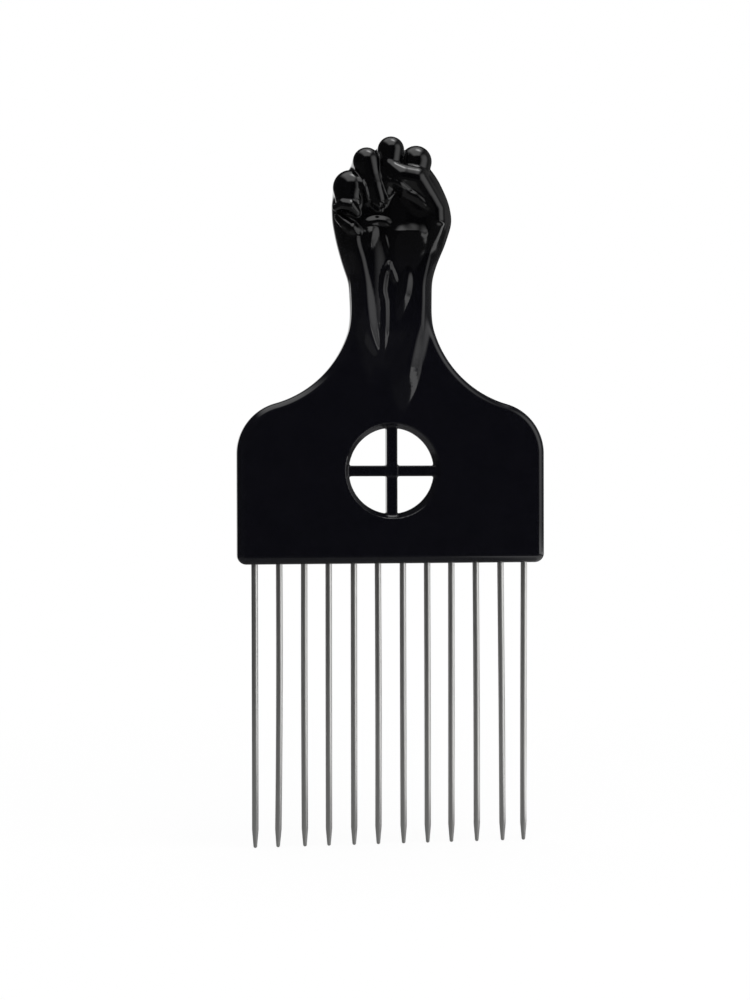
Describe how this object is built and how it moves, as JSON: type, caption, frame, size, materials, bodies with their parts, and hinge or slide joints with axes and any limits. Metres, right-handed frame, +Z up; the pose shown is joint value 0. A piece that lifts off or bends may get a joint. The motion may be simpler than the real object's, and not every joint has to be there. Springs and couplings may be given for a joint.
{
  "type": "afro pick",
  "caption": "Afro pick: a gloss plastic handle with a raised fist, a wide plate with a round crossed window, and a row of long straight steel teeth.",
  "frame": {"origin": "Under the middle of the plate, level with the tips of the teeth", "axes": "+Z up along the teeth towards the fist, palm side of the fist facing -Y, thumb towards +X"},
  "size_m": [0.0744, 0.0172, 0.17],
  "materials": {
    "handle_plastic": "glossy moulded",
    "tooth_steel": "polished drawn wire"
  },
  "bodies": {
    "root": {"handle": "handle_plastic", "tooth_01": "tooth_steel", "tooth_02": "tooth_steel", "tooth_03": "tooth_steel", "tooth_04": "tooth_steel", "tooth_05": "tooth_steel", "tooth_06": "tooth_steel", "tooth_07": "tooth_steel", "tooth_08": "tooth_steel", "tooth_09": "tooth_steel", "tooth_10": "tooth_steel", "tooth_11": "tooth_steel", "tooth_12": "tooth_steel"}
  },
  "joints": []
}
